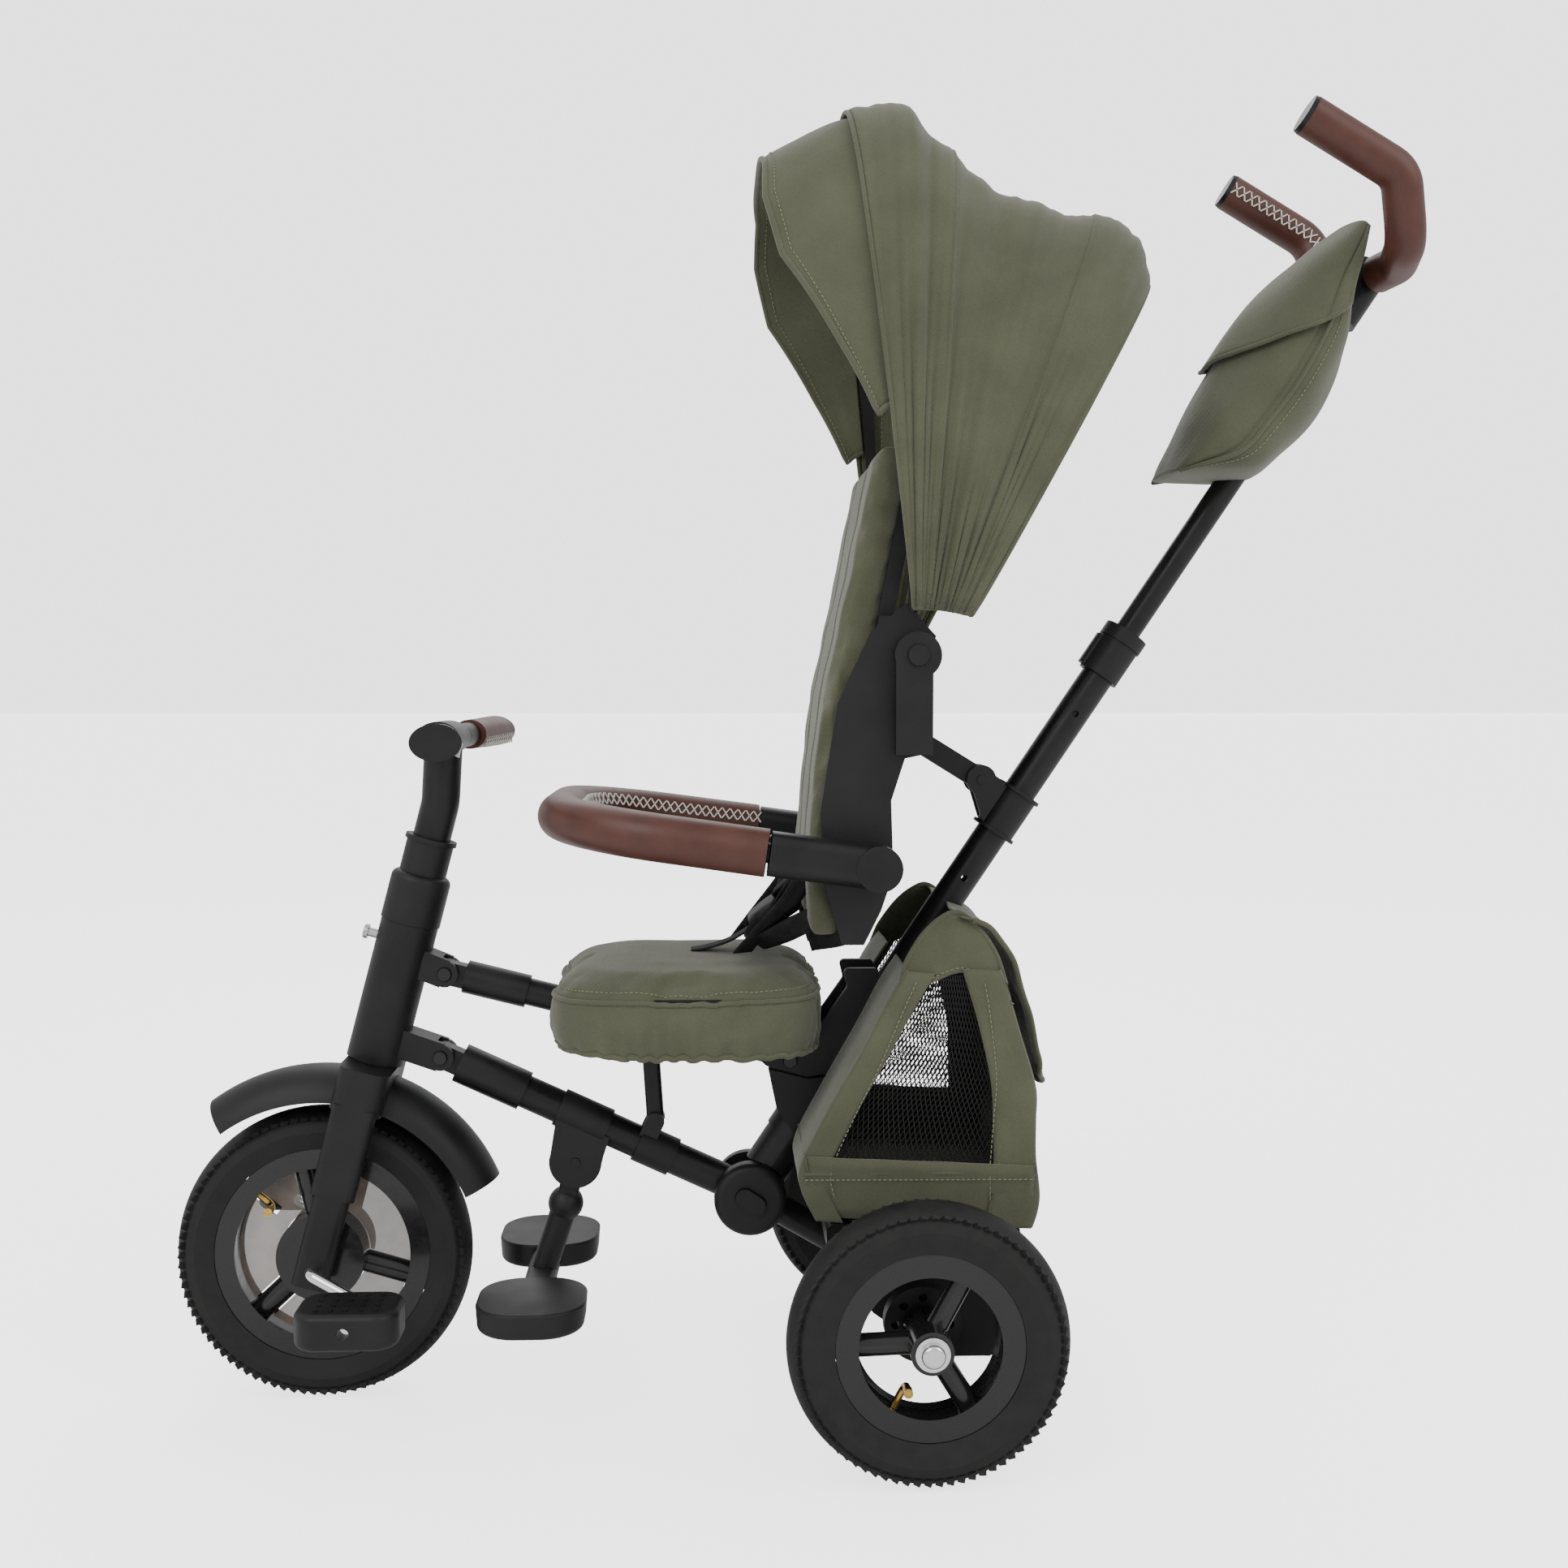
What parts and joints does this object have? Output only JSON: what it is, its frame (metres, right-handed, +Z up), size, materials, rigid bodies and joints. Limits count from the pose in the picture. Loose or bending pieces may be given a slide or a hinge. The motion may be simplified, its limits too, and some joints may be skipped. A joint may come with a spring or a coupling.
{
  "type": "children's tricycle",
  "caption": "Folding children's push tricycle with sun canopy, padded seat, bumper bar, footrest, telescopic parent handle, handle bag and rear basket.",
  "frame": {"origin": "on the floor at the middle of the footprint", "axes": "+X forward, +Y to the rider's left, +Z up"},
  "size_m": [1.0705, 0.4726, 1.103],
  "materials": {
    "tyre_rubber": "matte",
    "gloss_black": "gloss",
    "smoky_plastic": "gloss",
    "brass": "satin",
    "chrome": "polished",
    "black_plastic": "satin",
    "black_paint": "satin",
    "steel": "brushed",
    "brown_leather": "satin",
    "olive_fabric": "matte",
    "black_webbing": "matte"
  },
  "bodies": {
    "rear_frame": {"fold_hub": "black_plastic", "fold_button": "black_plastic", "rear_frame_tubes": "black_paint", "side_plates": "black_plastic", "frame_screws": "steel", "rear_base": "black_plastic", "rear_axle": "chrome", "brake_drums": "black_plastic", "seat_shell": "black_plastic", "seat_cushion": "olive_fabric", "pole_lower": "black_paint", "pole_collar": "black_plastic", "strut_sleeve": "black_plastic", "recline_strut": "black_plastic", "backrest_shell": "black_plastic", "backrest_pad": "olive_fabric", "harness": "black_webbing", "bumper_hubs": "black_plastic", "basket": "olive_fabric"},
    "rear_wheel_left": {"rear_tyre_left": "tyre_rubber", "rear_rim_left": "gloss_black", "rear_valve_left": "brass", "hub_cap_left": "chrome"},
    "rear_wheel_right": {"rear_tyre_right": "tyre_rubber", "rear_rim_right": "gloss_black", "rear_valve_right": "brass", "hub_cap_right": "chrome"},
    "brake": {"brake_pedal": "black_plastic"},
    "lower_frame": {"lower_tube": "black_paint", "strut_saddle": "black_plastic", "footrest_bracket": "black_plastic"},
    "footrest": {"footrest_arm": "black_plastic", "footrest_pads": "black_plastic"},
    "strut": {"seat_strut": "black_plastic"},
    "head": {"head_tube": "black_plastic", "head_bearings": "steel", "head_screws": "steel", "lock_pin": "chrome"},
    "upper_link": {"upper_tube": "black_paint"},
    "steering": {"fork": "black_plastic", "mudguard": "black_plastic", "stem_collar": "black_plastic", "stem": "black_paint", "handlebar_grips": "brown_leather", "handlebar_caps": "black_plastic"},
    "front_wheel": {"front_tyre": "tyre_rubber", "front_rim": "gloss_black", "front_wheel_panels": "smoky_plastic", "front_valve": "brass", "pedal_crank": "chrome"},
    "left_pedal": {"pedal_left": "black_plastic"},
    "right_pedal": {"pedal_right": "black_plastic"},
    "bumper": {"bumper_bar": "black_plastic", "bumper_leather": "brown_leather"},
    "hood": {"canopy": "olive_fabric", "canopy_arms": "black_plastic"},
    "pole": {"pole_upper": "black_paint", "push_handle": "black_plastic", "push_grips": "brown_leather", "handle_bag": "olive_fabric"}
  },
  "joints": [
    {"name": "frame_fold", "type": "hinge", "parent": "rear_frame", "child": "lower_frame", "pos_m": [0.03378, 0, 0.174], "axis": [0, 1, 0], "range_deg": [0, 40]},
    {"name": "head_pivot", "type": "hinge", "parent": "lower_frame", "child": "head", "pos_m": [0.30387, 0, 0.29978], "axis": [0, 1, 0], "range_deg": [-45, 45]},
    {"name": "upper_link_pivot", "type": "hinge", "parent": "head", "child": "upper_link", "pos_m": [0.2995, 0, 0.3731], "axis": [0, 1, 0], "range_deg": [-45, 45]},
    {"name": "seat_strut_pivot", "type": "hinge", "parent": "lower_frame", "child": "strut", "pos_m": [0.11728, 0, 0.24039], "axis": [0, 1, 0], "range_deg": [-80, 80]},
    {"name": "steer", "type": "hinge", "parent": "head", "child": "steering", "pos_m": [0.40728, 0, 0.128], "axis": [-0.2554, 0, 0.9668], "range_deg": [-22, 22]},
    {"name": "front_wheel_spin", "type": "hinge", "parent": "steering", "child": "front_wheel", "pos_m": [0.40728, 0, 0.128], "axis": [0, 1, 0], "continuous": true},
    {"name": "left_pedal_spin", "type": "hinge", "parent": "front_wheel", "child": "left_pedal", "pos_m": [0.3603, 0.134, 0.1109], "axis": [0, 1, 0], "continuous": true},
    {"name": "right_pedal_spin", "type": "hinge", "parent": "front_wheel", "child": "right_pedal", "pos_m": [0.45427, -0.134, 0.1451], "axis": [0, 1, 0], "continuous": true},
    {"name": "rear_wheel_left_spin", "type": "hinge", "parent": "rear_frame", "child": "rear_wheel_left", "pos_m": [-0.10072, 0.2, 0.1116], "axis": [0, 1, 0], "continuous": true},
    {"name": "rear_wheel_right_spin", "type": "hinge", "parent": "rear_frame", "child": "rear_wheel_right", "pos_m": [-0.10072, -0.2, 0.1116], "axis": [0, 1, 0], "continuous": true},
    {"name": "brake_press", "type": "hinge", "parent": "rear_frame", "child": "brake", "pos_m": [-0.13072, 0, 0.051], "axis": [0, -1, 0], "range_deg": [0, 12]},
    {"name": "footrest_fold", "type": "hinge", "parent": "lower_frame", "child": "footrest", "pos_m": [0.18728, 0, 0.206], "axis": [0, 1, 0], "range_deg": [0, 78]},
    {"name": "bumper_lift", "type": "hinge", "parent": "rear_frame", "child": "bumper", "pos_m": [-0.06572, 0, 0.478], "axis": [0, -1, 0], "range_deg": [0, 50]},
    {"name": "hood_tilt", "type": "hinge", "parent": "rear_frame", "child": "hood", "pos_m": [-0.09872, 0, 0.648], "axis": [0, 1, 0], "range_deg": [0, 22]},
    {"name": "pole_slide", "type": "slide", "parent": "rear_frame", "child": "pole", "axis": [0.5577, 0, -0.83], "range_m": [0, 0.11]}
  ],
  "couplings": [
    {"joint": "head_pivot", "follows": "frame_fold", "ratio": -1},
    {"joint": "upper_link_pivot", "follows": "frame_fold", "ratio": 0.9},
    {"joint": "seat_strut_pivot", "follows": "frame_fold", "ratio": 1.25}
  ]
}
